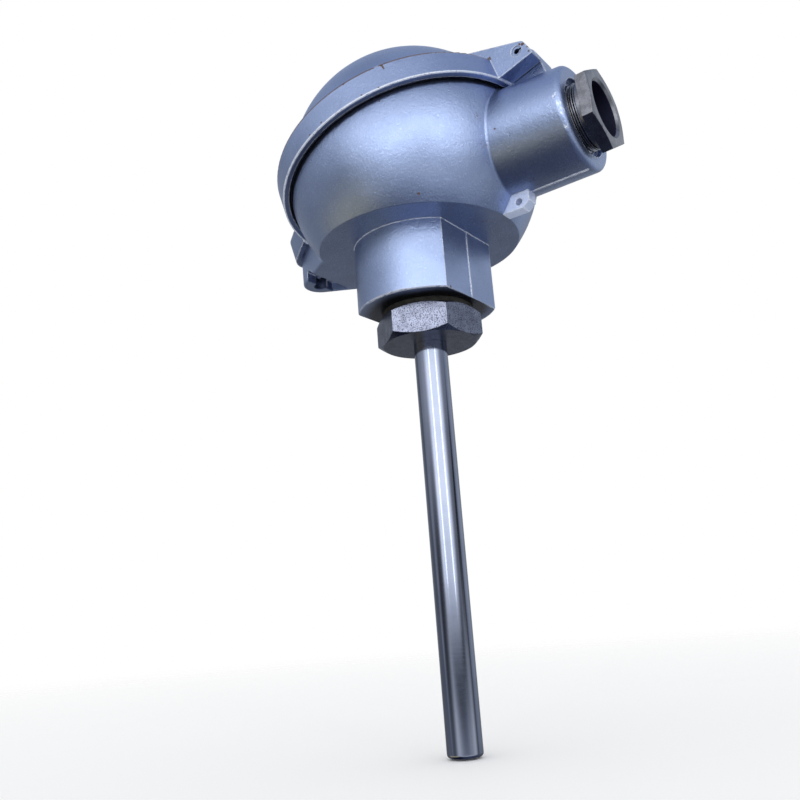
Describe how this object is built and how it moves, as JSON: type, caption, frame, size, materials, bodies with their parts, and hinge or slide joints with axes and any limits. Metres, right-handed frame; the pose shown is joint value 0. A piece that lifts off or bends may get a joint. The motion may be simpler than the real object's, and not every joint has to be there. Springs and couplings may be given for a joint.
{
  "type": "safety thermocouple",
  "caption": "Thermocouple with a die-cast connection head, hinged domed lid, side cable gland and neck, on a straight closed protection tube.",
  "frame": {"origin": "centre of the hexagon bush's lower face, where the inserted length of the stem begins", "axes": "+Z along the stem towards the head, +X towards the cable gland, +Y along the hinge axis"},
  "size_m": [0.1183, 0.0844, 0.2117],
  "materials": {
    "casting_lacquer": "silver blue lacquer on a fine cast surface",
    "bush_steel": "matt machined steel",
    "stem_steel": "ground and polished stainless steel",
    "gland_nickel": "nickel plated, dull",
    "fibre_seal": "pressed fibre",
    "seal_rubber": "matt black rubber",
    "zinc_steel": "bright zinc plated",
    "block_ceramic": "unglazed ceramic",
    "terminal_brass": "bright brass",
    "wire_alloy": "bare alloy wire"
  },
  "bodies": {
    "housing": {"housing": "casting_lacquer", "gland_boss": "casting_lacquer", "seal_lug": "casting_lacquer", "neck_gasket": "fibre_seal", "stem_bush": "bush_steel", "protection_tube": "stem_steel", "gland_seal": "seal_rubber", "gland_washer": "gland_nickel", "plate_screws": "zinc_steel", "plate_springs": "zinc_steel", "plate_clips": "zinc_steel", "earth_screw": "zinc_steel", "earth_washer": "zinc_steel"},
    "lid": {"lid": "casting_lacquer", "lid_gasket": "seal_rubber", "hinge_pin": "zinc_steel"},
    "lid_screw": {"lid_screw": "zinc_steel", "lid_screw_ring": "zinc_steel"},
    "gland_nut": {"gland_nut": "gland_nickel"},
    "insert": {"insert_plate": "zinc_steel", "insert_collar": "zinc_steel", "insert_sheath": "stem_steel", "terminal_block": "block_ceramic", "terminal_clamps": "terminal_brass", "terminal_screws": "terminal_brass", "lead_positive": "wire_alloy", "lead_negative": "wire_alloy"}
  },
  "joints": [
    {"name": "lid_hinge", "type": "hinge", "parent": "housing", "child": "lid", "pos_m": [0.04433, 0, 0.07439], "axis": [0, 1, 0], "range_deg": [0, 110]},
    {"name": "lid_screw_slide", "type": "slide", "parent": "lid", "child": "lid_screw", "axis": [-0.289, 0, 0.9573], "range_m": [0, 0.005]},
    {"name": "gland_nut_turn", "type": "hinge", "parent": "housing", "child": "gland_nut", "pos_m": [0.05742, 0, 0.05241], "axis": [0.9986, 0, 0.0523], "continuous": true},
    {"name": "insert_slide", "type": "slide", "parent": "housing", "child": "insert", "axis": [0, 0, 1], "range_m": [0, 0.005], "stiffness_N_per_m": 9200, "springref_m": -0.003, "deforming": ["plate_springs"]}
  ]
}
